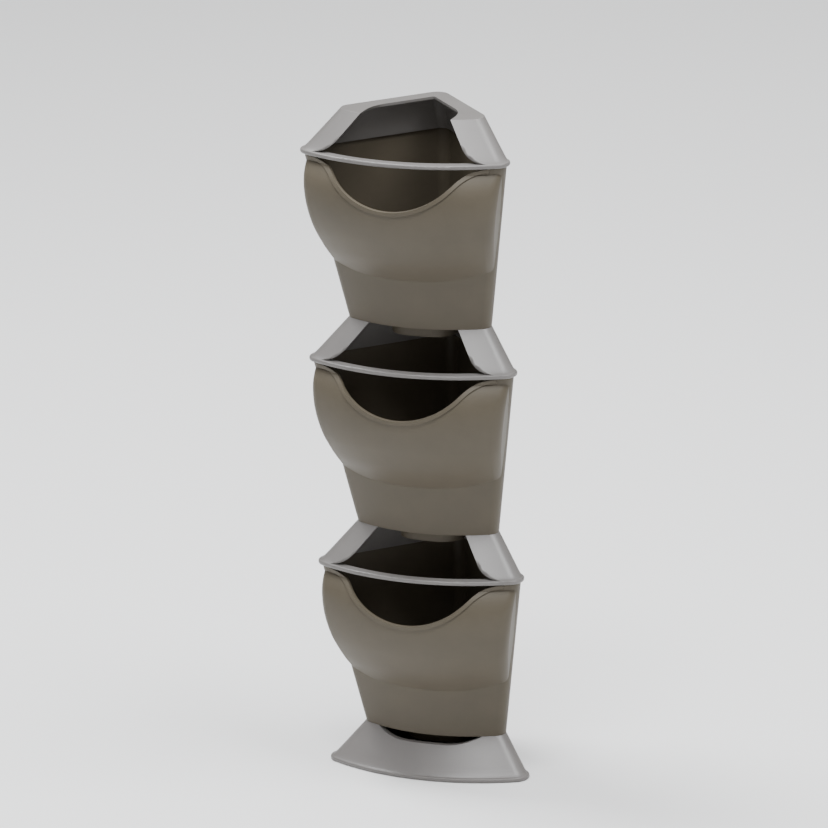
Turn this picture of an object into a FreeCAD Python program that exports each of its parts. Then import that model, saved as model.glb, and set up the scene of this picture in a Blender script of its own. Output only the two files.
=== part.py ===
import FreeCAD, Part
import os
from math import asin, atan, atan2, cos, hypot, radians, sin, sqrt, tan

# Corner planter tower, millimetres, +Z up.
# The plan is a quadrant: two flat walls meet at a right angle at the back (+Y),
# and a convex arc closes the front (-Y). The origin is on the floor, under the
# middle of the tower's bounding box.

# Number and heights of the levels
LEVEL_NAMES = ("lower", "middle", "upper")
TRAY_HEIGHT = 33.6
POT_HEIGHT = 157.0
LID_RISE = 34.0

# Plan sizes: reach is a wall's length from the sharp back corner to the sharp side
# corner, and setback is how far that back corner stands in from the tower's own
FRONT_RATIO = 1.37
BACK_RADIUS = 12.0
RIM_REACH = 144.2
RIM_SETBACK = 3.1
RIM_CORNER = 12.0
DECK_REACH = 0.7212 * RIM_REACH
DECK_SETBACK = 10.8
DECK_CORNER = 10.0
BRIM_REACH = RIM_REACH + 6.1
TRAY_BRIM_REACH = RIM_REACH + 2.6
BRIM_CORNER = 13.0
SHOULDER_STEP = 5.3
SHOULDER_SETBACK = 2.4

# Walls and the gap left where one piece drops into another
POT_WALL = 2.4
POT_FLOOR = 2.6
LID_WALL = 2.6
TRAY_FLOOR = 2.6
SEAT_CLEARANCE = 0.4

# Brims at the foot of the tray and of each lid, and the cove that rises from them
BRIM_HEIGHT = 4.0
BRIM_ROUND = 1.6
SKIRT_OVERLAP = 2.3
SEAT_LEDGE = 2.0
COVE_HEIGHT = 6.0
COVE_STEPS = 4

# Deck that the pot above stands on, and the well that drops through it
DECK_LEDGE = 14.0
DECK_HOLE_CORNER = 20.0
WELL_DEPTH = 12.0
WELL_WALL = 2.2
WELL_FLOOR = 2.4
WELL_CLEARANCE = 0.8

# Pouch that bulges out of the pot's front. At full swell its side lobes and its front stand
# this far out from the pot's own side corners and front. POUCH_SWELL gives, for each height,
# the share of it for the lobes and then for the front, which starts lower. Where a share is
# below nought the pouch is sunk in the wall
POUCH_OUTWARD = 2.2
POUCH_FORWARD = 22.0
POUCH_GROWTH = 0.6
POUCH_FRONT = 25.0
POUCH_SUNK = 1.5
POUCH_ROOT_BACK = 2.5
POUCH_ROOT_INWARD = 0.4
POUCH_SWELL = (
    (36.0, -0.2, -0.2), (43.0, -0.18, -0.02), (50.0, -0.09, 0.17), (55.5, 0.11, 0.31),
    (61.4, 0.27, 0.44), (67.0, 0.41, 0.55), (76.4, 0.6, 0.68), (86.4, 0.77, 0.8), (97.0, 0.87, 0.88),
    (108.0, 0.9, 0.9), (119.0, 0.85, 0.85), (130.0, 0.71, 0.71), (140.0, 0.47, 0.47),
    (147.0, 0.2, 0.2), (152.0, -0.12, -0.12),
)
RIM_NECK = 4.0

# Mouth in the pot's front: an S curve on each side that dips below the rim
MOUTH_HALF_WIDTH = 0.58 * RIM_REACH
MOUTH_DEPTH = 36.0
MOUTH_END_RADIUS = 38.0
MOUTH_CLEARANCE = 0.3
LIP_HEIGHT = 3.6
LIP_STAND = 1.3

# Window in the lid's front: a round lower corner, then a straight leaning jamb
WINDOW_HALF_WIDTH = 0.569 * RIM_REACH
WINDOW_RADIUS = 30.0
WINDOW_LEAN = radians(52.0)

# Shallow dip in the tray's front edge, where its water is seen and topped up
NOTCH_HALF_WIDTH = 50.0
NOTCH_FLAT = 20.0
NOTCH_DEPTH = 6.7

# Drain holes and strainer grid
DRAIN_RADIUS = 3.0
DRAIN_PITCH = 17.0
DRAIN_EDGE = 7.0
GRID_THICKNESS = 2.4
GRID_CLEARANCE = 0.6
GRID_SLOT_WIDTH = 3.4
GRID_SLOT_LENGTH = 24.0
GRID_BAR = 4.6
GRID_BORDER = 7.0

HALF_ROOT = sqrt(0.5)
OVERRUN = 5.0
LEVEL_PITCH = POT_HEIGHT + LID_RISE


def V(x, y, z):
    return FreeCAD.Vector(x, y, z)


class Plan:
    """A rounded quadrant: its sharp back corner, its front arc and its roundings."""

    def __init__(self, apex, front_radius, front_centre, corner, back):
        self.apex = apex
        self.front_radius = front_radius
        self.front_centre = front_centre
        self.corner = corner
        self.back = back

    def numbers(self):
        return self.apex, self.front_radius, self.front_centre, self.corner, self.back

    def inset(self, amount, corner=None):
        """The same plan moved inward by an amount all round; its roundings shrink with it."""
        return Plan(self.apex - amount * sqrt(2), self.front_radius - amount, self.front_centre,
                    corner or max(self.corner - amount, 1.0), max(self.back - amount, 1.0))

    def front(self):
        return self.front_centre - self.front_radius

    def rear(self):
        return self.apex - self.back * (sqrt(2) - 1)

    def side_wall_y(self, x):
        return self.apex - x

    def holds(self, x, y):
        """Whether a point lies inside the walls and the front arc."""
        return y < self.side_wall_y(abs(x)) and hypot(x, y - self.front_centre) < self.front_radius

    def corner_centre(self):
        """Centre of the right corner's rounding, as x and y."""
        start_x = -self.corner * HALF_ROOT
        start_y = self.apex - self.corner * HALF_ROOT
        drop = start_y - self.front_centre
        along = (start_x - drop) * HALF_ROOT
        gap = start_x ** 2 + drop ** 2 - (self.front_radius - self.corner) ** 2
        run = sqrt(along ** 2 - gap) - along
        return start_x + run * HALF_ROOT, start_y - run * HALF_ROOT

    def half_width(self):
        return self.corner_centre()[0] + self.corner

    def wire(self, z):
        """Six edges: right wall, right corner, front arc, left corner, left wall, back corner."""
        cx, cy = self.corner_centre()
        turn = atan2(cy - self.front_centre, cx)
        middle_turn = (radians(45) + turn) / 2
        wall_end = (cx + self.corner * HALF_ROOT, cy + self.corner * HALF_ROOT)
        middle = (cx + self.corner * cos(middle_turn), cy + self.corner * sin(middle_turn))
        arc_end = (cx + self.corner * cos(turn), cy + self.corner * sin(turn))
        back_centre = self.apex - self.back * sqrt(2)
        wall_start = (self.back * HALF_ROOT, back_centre + self.back * HALF_ROOT)

        def right(point):
            return V(point[0], point[1], z)

        def left(point):
            return V(-point[0], point[1], z)

        edges = [
            Part.LineSegment(right(wall_start), right(wall_end)),
            Part.Arc(right(wall_end), right(middle), right(arc_end)),
            Part.Arc(right(arc_end), V(0, self.front(), z), left(arc_end)),
            Part.Arc(left(arc_end), left(middle), left(wall_end)),
            Part.LineSegment(left(wall_end), left(wall_start)),
            Part.Arc(left(wall_start), V(0, back_centre + self.back, z), right(wall_start)),
        ]
        return Part.Wire([edge.toShape() for edge in edges])


def plan_from(reach, setback, corner, edge_y):
    """A plan from its walls' reach, with its front arc through both sharp side corners."""
    half_chord = reach * HALF_ROOT
    radius = FRONT_RATIO * reach
    apex = edge_y - setback
    centre = apex - half_chord + sqrt(radius ** 2 - half_chord ** 2)
    return Plan(apex, radius, centre, corner, BACK_RADIUS)


def blend(plans, weights):
    """The weighted mean of some plans, number by number."""
    columns = zip(*[plan.numbers() for plan in plans])
    return Plan(*[sum(w * n for w, n in zip(weights, column)) for column in columns])


def between(low, high, share):
    return low + (high - low) * share


def prism(plan, bottom, top):
    return Part.Face(plan.wire(bottom)).extrude(V(0, 0, top - bottom))


def loft(levels, ruled=True):
    """A solid through plans given as (plan, z) pairs, bottom to top."""
    return Part.makeLoft([plan.wire(z) for plan, z in levels], True, ruled)


def front_prism(edges, front, back):
    """A closed outline drawn in x and z at y = front, carried back to y = back."""
    face = Part.Face(Part.Wire(Part.__sortEdges__([edge.toShape() for edge in edges])))
    return face.extrude(V(0, back - front, 0))


def pot_wall(height, edge_y):
    """The pot's outer plan at a height above its foot."""
    share = height / POT_HEIGHT
    return plan_from(between(DECK_REACH, RIM_REACH, share), between(DECK_SETBACK, RIM_SETBACK, share),
                     between(DECK_CORNER, RIM_CORNER, share), edge_y)


class Pouch:
    """A section of the pouch: flat sides, two round lobes and an arc round the front."""

    def __init__(self, height, side_swell, front_swell, edge_y, inset):
        wall = pot_wall(height, edge_y)
        corner_x, corner_y = wall.corner_centre()
        out = max(side_swell, 0.0)
        side_sunk = between(POUCH_SUNK, 0.0, side_swell) + inset
        front_sunk = between(POUCH_SUNK, 0.0, front_swell) + inset
        self.x = corner_x + POUCH_OUTWARD * out
        self.y = corner_y - POUCH_FORWARD * out
        self.lobe = wall.corner + POUCH_GROWTH * out - side_sunk
        self.front = wall.front() - POUCH_FRONT * front_swell + front_sunk
        self.root_x = corner_x + wall.corner - side_sunk - POUCH_ROOT_INWARD
        self.root_y = corner_y + POUCH_ROOT_BACK

    def wire(self, z):
        """Six edges: back chord, right side, right lobe, front arc, left lobe, left side."""
        rise = self.y - self.front
        radius = (self.x ** 2 + rise ** 2 - self.lobe ** 2) / (2 * (rise - self.lobe))
        turn = atan2(rise - radius, self.x)

        def lobe(angle, side):
            return V(side * (self.x + self.lobe * cos(angle)), self.y + self.lobe * sin(angle), z)

        right_root = V(self.root_x, self.root_y, z)
        left_root = V(-self.root_x, self.root_y, z)
        edges = [
            Part.LineSegment(left_root, right_root),
            Part.LineSegment(right_root, lobe(0, 1)),
            Part.Arc(lobe(0, 1), lobe(turn / 2, 1), lobe(turn, 1)),
            Part.Arc(lobe(turn, 1), V(0, self.front, z), lobe(turn, -1)),
            Part.Arc(lobe(turn, -1), lobe(turn / 2, -1), lobe(0, -1)),
            Part.LineSegment(lobe(0, -1), left_root),
        ]
        return Part.Wire([edge.toShape() for edge in edges])


# The tower's own back corner: its bounding box is centred on the origin
POUCH_REACH = min(Pouch(height, side, front, 0.0, 0.0).front for height, side, front in POUCH_SWELL)
BRIM_AT_ZERO = plan_from(BRIM_REACH, 0.0, BRIM_CORNER, 0.0)
EDGE_Y = -(BRIM_AT_ZERO.rear() + min(POUCH_REACH - LIP_STAND, BRIM_AT_ZERO.front())) / 2

DECK = plan_from(DECK_REACH, DECK_SETBACK, DECK_CORNER, EDGE_Y)
RIM = plan_from(RIM_REACH, RIM_SETBACK, RIM_CORNER, EDGE_Y)
BRIM = plan_from(BRIM_REACH, 0.0, BRIM_CORNER, EDGE_Y)
TRAY_BRIM = plan_from(TRAY_BRIM_REACH, 0.0, BRIM_CORNER, EDGE_Y)
SHOULDER = plan_from(BRIM_REACH - SHOULDER_STEP, SHOULDER_SETBACK, RIM_CORNER, EDGE_Y)
TRAY_SHOULDER = plan_from(TRAY_BRIM_REACH - SHOULDER_STEP, SHOULDER_SETBACK, RIM_CORNER, EDGE_Y)
DECK_HOLE = DECK.inset(DECK_LEDGE, DECK_HOLE_CORNER)
WELL = DECK_HOLE.inset(WELL_CLEARANCE)
FRONT_CUT = EDGE_Y + POUCH_REACH - LIP_STAND - OVERRUN


def pot_form(inset, floor):
    """The pot's outer form moved inward by inset, from the floor height to the rim."""
    neck = POT_HEIGHT - RIM_NECK
    body = loft([(pot_wall(floor, EDGE_Y).inset(inset), floor), (RIM.inset(inset), neck)])
    top = POT_HEIGHT if inset <= 0 else POT_HEIGHT + OVERRUN
    collar = prism(RIM.inset(inset), neck, top)
    sections = [Pouch(height, side, front, EDGE_Y, inset).wire(height)
                for height, side, front in POUCH_SWELL]
    return body.fuse([collar, Part.makeLoft(sections, True, False)])


def mouth_curve(drop):
    """The mouth's S curve moved down by drop, as arcs from left to right."""
    top = POT_HEIGHT - SKIRT_OVERLAP - MOUTH_CLEARANCE
    turn = 2 * atan(MOUTH_DEPTH / MOUTH_HALF_WIDTH)
    end_radius = MOUTH_END_RADIUS - drop
    end_z = top - MOUTH_END_RADIUS

    def on_end(angle, side):
        return V(side * (MOUTH_HALF_WIDTH - end_radius * sin(angle)), FRONT_CUT,
                 end_z + end_radius * cos(angle))

    bottom = V(0, FRONT_CUT, top - MOUTH_DEPTH - drop)
    arcs = [
        Part.Arc(on_end(0, -1), on_end(turn / 2, -1), on_end(turn, -1)),
        Part.Arc(on_end(turn, -1), bottom, on_end(turn, 1)),
        Part.Arc(on_end(turn, 1), on_end(turn / 2, 1), on_end(0, 1)),
    ]
    return arcs, on_end(0, -1), on_end(0, 1)


def mouth_back():
    """How far back the mouth's cut may go and still miss the side walls."""
    return RIM.side_wall_y(MOUTH_HALF_WIDTH) - (POT_WALL + 1.0) * sqrt(2)


def mouth_cut():
    arcs, left, right = mouth_curve(0)
    high = POT_HEIGHT + OVERRUN
    top_left = V(left.x, FRONT_CUT, high)
    top_right = V(right.x, FRONT_CUT, high)
    lines = [Part.LineSegment(right, top_right), Part.LineSegment(top_right, top_left),
             Part.LineSegment(top_left, left)]
    return front_prism(arcs + lines, FRONT_CUT, mouth_back())


def lip_band():
    upper, upper_left, upper_right = mouth_curve(0)
    lower, lower_left, lower_right = mouth_curve(LIP_HEIGHT)
    ends = [Part.LineSegment(upper_left, lower_left), Part.LineSegment(upper_right, lower_right)]
    return front_prism(upper + lower + ends, FRONT_CUT, mouth_back())


def drain_holes(plan, bottom, depth):
    """Round holes on a square grid, wherever they fit inside the plan."""
    field = plan.inset(DRAIN_EDGE)
    columns = int(field.half_width() / DRAIN_PITCH)
    rows = int((field.apex - field.front()) / DRAIN_PITCH)
    middle_y = (field.apex + field.front()) / 2 - DRAIN_PITCH / 2
    holes = []
    for column in range(-columns, columns + 1):
        for row in range(-rows, rows + 1):
            x = column * DRAIN_PITCH
            y = middle_y + row * DRAIN_PITCH
            if field.holds(x, y):
                holes.append(Part.makeCylinder(DRAIN_RADIUS, depth, V(x, y, bottom)))
    return holes


def make_pot():
    outer = pot_form(0.0, 0.0)
    inner = pot_form(POT_WALL, POT_FLOOR)
    lip = pot_form(-LIP_STAND, 0.0).common(lip_band())
    well = prism(WELL, -WELL_DEPTH, POT_FLOOR)
    sump = prism(WELL.inset(WELL_WALL), WELL_FLOOR - WELL_DEPTH, POT_FLOOR + OVERRUN)
    solid = outer.fuse([well, lip]).cut(inner).cut(sump).cut(mouth_cut())
    holes = drain_holes(WELL.inset(WELL_WALL), -WELL_DEPTH - 1.0, WELL_FLOOR + 2.0)
    return solid.cut(holes)


def make_grid():
    """Strainer that lies on the pot's floor over the sump: rows of slots with bars between."""
    height = POT_FLOOR + GRID_THICKNESS
    plan = pot_wall(POT_FLOOR, EDGE_Y).inset(POT_WALL + GRID_CLEARANCE)
    plate = prism(plan, POT_FLOOR, height)
    field = prism(plan.inset(GRID_BORDER), POT_FLOOR - 1.0, height + 1.0)
    across = GRID_SLOT_WIDTH + GRID_BAR
    along = GRID_SLOT_LENGTH + GRID_BAR
    columns = int(plan.half_width() / across)
    rows = int((plan.apex - plan.front()) / along) + 1
    slots = []
    for column in range(-columns, columns + 1):
        for row in range(rows):
            corner = V(column * across - GRID_SLOT_WIDTH / 2, plan.front() + row * along, POT_FLOOR - 1.0)
            slots.append(Part.makeBox(GRID_SLOT_WIDTH, GRID_SLOT_LENGTH, GRID_THICKNESS + 2.0, corner))
    return plate.cut(field.common(Part.makeCompound(slots)))


def rounded_brim(plan, bottom):
    brim = prism(plan, bottom, bottom + BRIM_HEIGHT)
    rim_edges = [edge for edge in brim.Edges
                 if abs(edge.BoundBox.ZMax - edge.BoundBox.ZMin) < 0.01]
    return brim.makeFillet(BRIM_ROUND, rim_edges)


def shoulder(brim, base, bottom, top):
    """The flared skin from the brim's top up to the deck, with a cove at its foot."""
    share = COVE_HEIGHT / (top - bottom)
    ledge = brim.inset(BRIM_ROUND + 0.2)
    rise = blend([base, DECK], [1 - share, share])
    cove = []
    for step in range(COVE_STEPS + 1):
        t = step / COVE_STEPS
        weights = [(1 - t) ** 2, 2 * t * (1 - t), t ** 2]
        cove.append((blend([ledge, base, rise], weights), bottom + COVE_HEIGHT * t ** 2))
    slope = loft([(rise, bottom + COVE_HEIGHT), (DECK, top)])
    return slope.fuse(loft(cove))


def window_curve(bottom, top):
    """The window's outline in the lid's front, closed over its top."""
    turn = WINDOW_LEAN
    centre_z = bottom + WINDOW_RADIUS

    def on_corner(angle, side):
        return V(side * (WINDOW_HALF_WIDTH - WINDOW_RADIUS * sin(angle)), FRONT_CUT,
                 centre_z - WINDOW_RADIUS * cos(angle))

    jamb_foot = on_corner(turn, 1)
    top_x = jamb_foot.x - (top - jamb_foot.z) / tan(turn)
    top_left = V(-top_x, FRONT_CUT, top)
    top_right = V(top_x, FRONT_CUT, top)
    edges = [
        Part.LineSegment(on_corner(0, -1), on_corner(0, 1)),
        Part.Arc(on_corner(0, 1), on_corner(turn / 2, 1), on_corner(turn, 1)),
        Part.LineSegment(on_corner(turn, 1), top_right),
        Part.LineSegment(top_right, top_left),
        Part.LineSegment(top_left, on_corner(turn, -1)),
        Part.Arc(on_corner(turn, -1), on_corner(turn / 2, -1), on_corner(0, -1)),
    ]
    return edges, top_x


def deck_gap(half_width, back):
    """Cut that opens the deck's hole to the window: it narrows from the window to the hole."""
    hole_y = DECK_HOLE.corner_centre()[1]
    hole_x = DECK_HOLE.half_width()
    corners = [(-half_width, FRONT_CUT), (half_width, FRONT_CUT), (half_width, back), (hole_x, hole_y),
               (-hole_x, hole_y), (-half_width, back), (-half_width, FRONT_CUT)]
    bottom = LID_RISE - LID_WALL - OVERRUN
    outline = Part.makePolygon([V(x, y, bottom) for x, y in corners])
    return Part.Face(outline).extrude(V(0, 0, LID_WALL + 2 * OVERRUN))


def make_lid():
    brim_bottom = -SKIRT_OVERLAP
    brim_top = brim_bottom + BRIM_HEIGHT
    skin = rounded_brim(BRIM, brim_bottom).fuse(shoulder(BRIM, SHOULDER, brim_top, LID_RISE))
    socket = prism(RIM.inset(-SEAT_CLEARANCE), brim_bottom - OVERRUN, 0.0)
    cavity = loft([(RIM.inset(SEAT_LEDGE + POT_WALL), 0.0), (DECK.inset(LID_WALL), LID_RISE - LID_WALL)])
    hole = prism(DECK_HOLE, 0.0, LID_RISE + OVERRUN)
    edges, _ = window_curve(brim_top, LID_RISE + OVERRUN)
    window_back = BRIM.side_wall_y(WINDOW_HALF_WIDTH) - 2 * LID_WALL
    window = front_prism(edges, FRONT_CUT, window_back)
    _, top_half = window_curve(brim_top, LID_RISE)
    gap = deck_gap(top_half, window_back)
    return skin.cut(socket).cut(cavity).cut(hole).cut(window).cut(gap)


def notch_cut():
    high = TRAY_HEIGHT + OVERRUN
    run = NOTCH_HALF_WIDTH - NOTCH_FLAT
    radius = (run ** 2 + NOTCH_DEPTH ** 2) / (2 * NOTCH_DEPTH)
    low = TRAY_HEIGHT - NOTCH_DEPTH
    half_turn = asin(run / radius) / 2

    def at(x, z):
        return V(x, FRONT_CUT, z)

    middle_x = NOTCH_FLAT + radius * sin(half_turn)
    middle_z = low + radius * (1 - cos(half_turn))
    edges = [
        Part.LineSegment(at(-NOTCH_FLAT, low), at(NOTCH_FLAT, low)),
        Part.Arc(at(NOTCH_FLAT, low), at(middle_x, middle_z), at(NOTCH_HALF_WIDTH, TRAY_HEIGHT)),
        Part.LineSegment(at(NOTCH_HALF_WIDTH, TRAY_HEIGHT), at(NOTCH_HALF_WIDTH, high)),
        Part.LineSegment(at(NOTCH_HALF_WIDTH, high), at(-NOTCH_HALF_WIDTH, high)),
        Part.LineSegment(at(-NOTCH_HALF_WIDTH, high), at(-NOTCH_HALF_WIDTH, TRAY_HEIGHT)),
        Part.Arc(at(-NOTCH_HALF_WIDTH, TRAY_HEIGHT), at(-middle_x, middle_z), at(-NOTCH_FLAT, low)),
    ]
    return front_prism(edges, FRONT_CUT, DECK_HOLE.front() + OVERRUN)


def make_tray():
    skin = rounded_brim(TRAY_BRIM, 0.0).fuse(
        shoulder(TRAY_BRIM, TRAY_SHOULDER, BRIM_HEIGHT, TRAY_HEIGHT))
    basin = loft([(TRAY_SHOULDER.inset(LID_WALL), TRAY_FLOOR),
                  (DECK.inset(LID_WALL), TRAY_HEIGHT - LID_WALL)])
    hole = prism(DECK_HOLE, TRAY_FLOOR, TRAY_HEIGHT + OVERRUN)
    return skin.cut(basin).cut(hole).cut(notch_cut())


def raised(shape, height):
    copy = shape.copy()
    copy.translate(V(0, 0, height))
    return copy


def save(name, shape):
    solids = shape.Solids
    state = "valid" if shape.isValid() else "NOT VALID"
    print(name, len(solids), "solid", round(shape.Volume / 1000, 2), "cm3", state)
    shape.exportStep(os.path.join("parts", name + ".step"))


os.makedirs("parts", exist_ok=True)
pot = make_pot()
grid = make_grid()
lid = make_lid()
save("base_tray", make_tray())
for index, level in enumerate(LEVEL_NAMES):
    deck_z = TRAY_HEIGHT + index * LEVEL_PITCH
    save(level + "_pot", raised(pot, deck_z))
    save(level + "_grid", raised(grid, deck_z))
    save(level + "_lid", raised(lid, deck_z + POT_HEIGHT))
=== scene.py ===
import math

import bmesh
import bpy
from mathutils import Matrix, Vector


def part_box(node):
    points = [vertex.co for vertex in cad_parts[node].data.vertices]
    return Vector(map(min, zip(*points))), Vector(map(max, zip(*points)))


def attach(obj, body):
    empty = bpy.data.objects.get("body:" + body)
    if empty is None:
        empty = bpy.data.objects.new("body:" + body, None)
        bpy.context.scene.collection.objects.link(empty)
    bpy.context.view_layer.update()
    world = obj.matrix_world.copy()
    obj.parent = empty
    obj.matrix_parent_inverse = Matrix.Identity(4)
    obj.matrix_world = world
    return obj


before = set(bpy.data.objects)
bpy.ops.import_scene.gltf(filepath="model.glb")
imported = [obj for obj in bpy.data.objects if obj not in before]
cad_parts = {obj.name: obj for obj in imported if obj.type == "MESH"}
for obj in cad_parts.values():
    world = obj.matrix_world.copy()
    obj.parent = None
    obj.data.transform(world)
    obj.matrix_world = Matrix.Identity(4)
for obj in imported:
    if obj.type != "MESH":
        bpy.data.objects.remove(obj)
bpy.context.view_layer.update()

LEVELS = ("lower", "middle", "upper")

# The camera, in metres: the tower as seen from its right and a little above
CAMERA_AZIMUTH = math.radians(22.9)
CAMERA_ELEVATION = math.radians(18.43)
CAMERA_ROLL = math.radians(2.26)
CAMERA_DISTANCE = 5.6295
CAMERA_LENS = 275.7
SENSOR_WIDTH = 36.0
TARGET_SIDE = -0.01746
TARGET = Vector((0.0, 0.01689, 0.3225))

# Moulded plastic: the radius in metres that its sharp edges catch the light with, a faint mottle
# in its colour and sheen, and a fine grain whose height is in metres
PLASTIC_IOR = 1.49
EDGE_SOFTNESS = 0.0005
EDGE_SAMPLES = 6
MOTTLE_SCALE = 28.0
MOTTLE_DETAIL = 5.0
MOTTLE_ROUGHNESS = 0.6
MOTTLE_RANGE = (0.3, 0.7)
MOTTLE_TINTS = (0.94, 1.05)
SHEEN_SMOOTHER = 0.05
SHEEN_ROUGHER = 0.06
GRAIN_SCALE = 1400.0
GRAIN_DETAIL = 2.0
GRAIN_HEIGHT = 0.0002

# The pots, lids and tray are one plastic. The pot's darker, warmer tint is painted shade and warm bounce
# light on its walls. The lids' and tray's lighter, cooler tints are painted light from above on their
# upward faces. The grid's tint is its own dark colour.
PLASTICS = {
    "pot_plastic": {"tint_and_painted_light": (0.086, 0.073, 0.053), "roughness": 0.48, "gloss": 0.24, "grain": 0.12},
    "lid_plastic": {"tint_and_painted_light": (0.145, 0.137, 0.132), "roughness": 0.33, "gloss": 0.5, "grain": 0.12},
    "tray_plastic": {"tint_and_painted_light": (0.145, 0.136, 0.131), "roughness": 0.33, "gloss": 0.5, "grain": 0.12},
    "grid_plastic": {"tint_and_painted_light": (0.06, 0.057, 0.052), "roughness": 0.5, "gloss": 0.4, "grain": 0.15},
}

# The outline of a lid's deck opening, in metres: its straight back edges lie on the lines
# x + y = OPENING_EDGE and -x + y = OPENING_EDGE, and its sides lean with the window's jambs
OPENING_EDGE = 0.04626
OPENING_BACK = 0.044
OPENING_FRONT = -0.035
OPENING_HALF_WIDTH = 0.04216
OPENING_CORNER = 0.0349
OPENING_TURN = math.radians(45.0)
OPENING_STEPS = 16
JAMB_LEAN = math.radians(52.0)

# The trim along that outline: how far it reaches under and over the deck's top face, and how close
# together the vertices of one seam lie, in metres
CUT_DEPTH = 0.0038
CUT_ABOVE = 0.001
SEAM = 0.000002

FLOOR_SIZE = 60.0
FLOOR_TONE = 0.86
FLOOR_ROUGHNESS = 0.75

# The studio's light. A lamp has its place, its width and depth in metres, and its power in watts.
# The sky's bands go from the horizon up to the zenith
LAMP_COLOR = (0.97, 0.985, 1.0)
LAMP_AIM = Vector((0.0, 0.0, 0.25))
LAMPS = {
    "right_soft": {"place": (1.3, -0.1, 2.7), "size": (1.2, 1.2), "power": 60.0},
    "left_soft": {"place": (-1.2, 0.3, 2.8), "size": (0.9, 0.9), "power": 85.0},
    "front_soft": {"place": (0.1, -1.1, 2.8), "size": (1.0, 0.6), "power": 40.0},
}
SKY_STRENGTH = 1.5
SKY_SIDES = (0.09, 0.075, 0.055)
SKY_BANDS = ((0.09, (0.5, 0.5, 0.5)), (0.17, SKY_SIDES), (0.3, SKY_SIDES), (0.95, LAMP_COLOR))


def opaque(color):
    return (*color, 1.0)


def add_camera():
    right = Vector((math.cos(CAMERA_AZIMUTH), math.sin(CAMERA_AZIMUTH), 0.0))
    level = math.cos(CAMERA_ELEVATION)
    forward = Vector((-math.sin(CAMERA_AZIMUTH) * level, math.cos(CAMERA_AZIMUTH) * level,
                      -math.sin(CAMERA_ELEVATION)))
    up = right.cross(forward)
    place = TARGET + right * TARGET_SIDE - forward * CAMERA_DISTANCE
    turned_right = right * math.cos(CAMERA_ROLL) - up * math.sin(CAMERA_ROLL)
    turned_up = right * math.sin(CAMERA_ROLL) + up * math.cos(CAMERA_ROLL)
    data = bpy.data.cameras.new("camera")
    data.lens = CAMERA_LENS
    data.sensor_width = SENSOR_WIDTH
    camera = bpy.data.objects.new("camera", data)
    bpy.context.scene.collection.objects.link(camera)
    axes = Matrix((turned_right, turned_up, -forward)).transposed().to_4x4()
    camera.matrix_world = Matrix.Translation(place) @ axes
    bpy.context.scene.camera = camera


def moulded_plastic(name, tint_and_painted_light, roughness, gloss, grain):
    """Satin moulded plastic with a faint mottle, soft edges and a fine grain."""
    material = bpy.data.materials.new(name)
    material.use_nodes = True
    nodes = material.node_tree.nodes
    links = material.node_tree.links
    shader = nodes["Principled BSDF"]
    shader.inputs["Metallic"].default_value = 0.0
    shader.inputs["IOR"].default_value = PLASTIC_IOR
    shader.inputs["Specular IOR Level"].default_value = gloss
    place = nodes.new("ShaderNodeTexCoord")

    mottle = nodes.new("ShaderNodeTexNoise")
    mottle.inputs["Scale"].default_value = MOTTLE_SCALE
    mottle.inputs["Detail"].default_value = MOTTLE_DETAIL
    mottle.inputs["Roughness"].default_value = MOTTLE_ROUGHNESS
    links.new(place.outputs["Object"], mottle.inputs["Vector"])
    # The mottle spreads the tint a little either way, together with the painted light and shade that the
    # tint carries
    shades = nodes.new("ShaderNodeValToRGB")
    for shade, position, share in zip(shades.color_ramp.elements, MOTTLE_RANGE, MOTTLE_TINTS):
        shade.position = position
        shade.color = opaque([c * share for c in tint_and_painted_light])
    links.new(mottle.outputs["Fac"], shades.inputs["Fac"])
    links.new(shades.outputs["Color"], shader.inputs["Base Color"])

    sheen = nodes.new("ShaderNodeMapRange")
    sheen.inputs["To Min"].default_value = roughness - SHEEN_SMOOTHER
    sheen.inputs["To Max"].default_value = roughness + SHEEN_ROUGHER
    links.new(mottle.outputs["Fac"], sheen.inputs["Value"])
    links.new(sheen.outputs["Result"], shader.inputs["Roughness"])

    fine = nodes.new("ShaderNodeTexNoise")
    fine.inputs["Scale"].default_value = GRAIN_SCALE
    fine.inputs["Detail"].default_value = GRAIN_DETAIL
    links.new(place.outputs["Object"], fine.inputs["Vector"])
    soft_edge = nodes.new("ShaderNodeBevel")
    soft_edge.samples = EDGE_SAMPLES
    soft_edge.inputs["Radius"].default_value = EDGE_SOFTNESS
    bump = nodes.new("ShaderNodeBump")
    bump.inputs["Strength"].default_value = grain
    bump.inputs["Distance"].default_value = GRAIN_HEIGHT
    links.new(fine.outputs["Fac"], bump.inputs["Height"])
    links.new(soft_edge.outputs["Normal"], bump.inputs["Normal"])
    links.new(bump.outputs["Normal"], shader.inputs["Normal"])
    return material


def dress(node, material):
    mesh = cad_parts[node].data
    mesh.materials.clear()
    mesh.materials.append(material)


def opening_outline(drop):
    """The deck opening's outline in plan, at a depth under the deck's top face."""
    half_width = OPENING_HALF_WIDTH + drop / math.tan(JAMB_LEAN)
    centre_x = half_width - OPENING_CORNER
    centre_y = OPENING_EDGE - half_width - OPENING_CORNER * math.tan(OPENING_TURN / 2)
    right = [(half_width, OPENING_FRONT)]
    for step in range(OPENING_STEPS + 1):
        angle = OPENING_TURN * step / OPENING_STEPS
        right.append((centre_x + OPENING_CORNER * math.cos(angle),
                      centre_y + OPENING_CORNER * math.sin(angle)))
    right.append((OPENING_EDGE - OPENING_BACK, OPENING_BACK))
    return right + [(-x, y) for x, y in reversed(right)]


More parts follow.
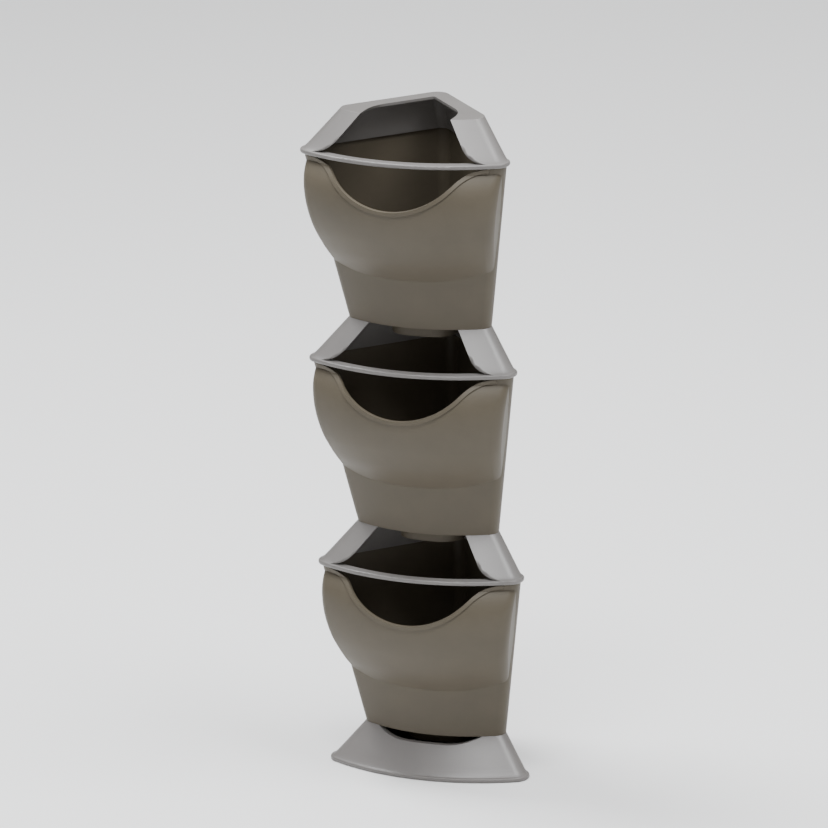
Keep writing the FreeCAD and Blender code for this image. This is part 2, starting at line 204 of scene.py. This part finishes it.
def opening_cutter(name, deck_top):
    """A hidden solid that fills the deck's opening up to its outline."""
    bm = bmesh.new()
    low, high = [[bm.verts.new((x, y, deck_top - drop)) for x, y in opening_outline(drop)]
                 for drop in (CUT_DEPTH, -CUT_ABOVE)]
    bm.faces.new(list(reversed(low)))
    bm.faces.new(high)
    for at in range(len(low)):
        after = (at + 1) % len(low)
        bm.faces.new((low[at], low[after], high[after], high[at]))
    bmesh.ops.recalc_face_normals(bm, faces=bm.faces)
    bmesh.ops.triangulate(bm, faces=bm.faces)
    mesh = bpy.data.meshes.new(name)
    bm.to_mesh(mesh)
    bm.free()
    cutter = bpy.data.objects.new(name, mesh)
    bpy.context.scene.collection.objects.link(cutter)
    cutter.hide_render = True
    cutter.hide_viewport = True
    return cutter


def trim_opening(level):
    """Joins the deck's opening to the window in one clean outline, without the kinks between them."""
    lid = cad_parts[level + "_lid"]
    deck_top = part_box(level + "_lid")[1][2]
    cutter = opening_cutter(level + "_opening", deck_top)
    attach(cutter, level + "_lid")
    weld = lid.modifiers.new("weld", "WELD")
    weld.merge_threshold = SEAM
    trim = lid.modifiers.new("trim", "BOOLEAN")
    trim.operation = "DIFFERENCE"
    trim.solver = "EXACT"
    trim.object = cutter


def add_floor():
    bpy.ops.mesh.primitive_plane_add(size=FLOOR_SIZE, location=(0.0, 0.0, 0.0))
    floor = bpy.context.object
    floor.name = "floor"
    material = bpy.data.materials.new("floor_white")
    material.use_nodes = True
    shader = material.node_tree.nodes["Principled BSDF"]
    shader.inputs["Base Color"].default_value = opaque([FLOOR_TONE] * 3)
    shader.inputs["Roughness"].default_value = FLOOR_ROUGHNESS
    floor.data.materials.append(material)


def add_world():
    """A bright light from above, a dim warm one from the sides, and a pale band behind the floor's edge."""
    world = bpy.data.worlds.new("studio")
    world.use_nodes = True
    nodes = world.node_tree.nodes
    links = world.node_tree.links
    place = nodes.new("ShaderNodeTexCoord")
    split = nodes.new("ShaderNodeSeparateXYZ")
    links.new(place.outputs["Generated"], split.inputs["Vector"])
    ramp = nodes.new("ShaderNodeValToRGB")
    bands = ramp.color_ramp.elements
    for band, (position, color) in zip(bands, (SKY_BANDS[0], SKY_BANDS[-1])):
        band.position = position
        band.color = opaque(color)
    for position, color in SKY_BANDS[1:-1]:
        bands.new(position).color = opaque(color)
    links.new(split.outputs["Z"], ramp.inputs["Fac"])
    background = nodes["Background"]
    background.inputs["Strength"].default_value = SKY_STRENGTH
    links.new(ramp.outputs["Color"], background.inputs["Color"])
    bpy.context.scene.world = world


def add_lamp(name, place, size, power):
    data = bpy.data.lights.new(name, "AREA")
    data.shape = "RECTANGLE"
    data.size, data.size_y = size
    data.energy = power
    data.color = LAMP_COLOR
    lamp = bpy.data.objects.new(name, data)
    bpy.context.scene.collection.objects.link(lamp)
    lamp.location = place
    lamp.rotation_euler = (LAMP_AIM - Vector(place)).to_track_quat("-Z", "Y").to_euler()


plastics = {name: moulded_plastic(name, **looks) for name, looks in PLASTICS.items()}
dress("base_tray", plastics["tray_plastic"])
for level in LEVELS:
    for piece in ("pot", "lid", "grid"):
        dress(level + "_" + piece, plastics[piece + "_plastic"])
    trim_opening(level)

add_camera()
add_floor()
add_world()
for name, settings in LAMPS.items():
    add_lamp(name, **settings)
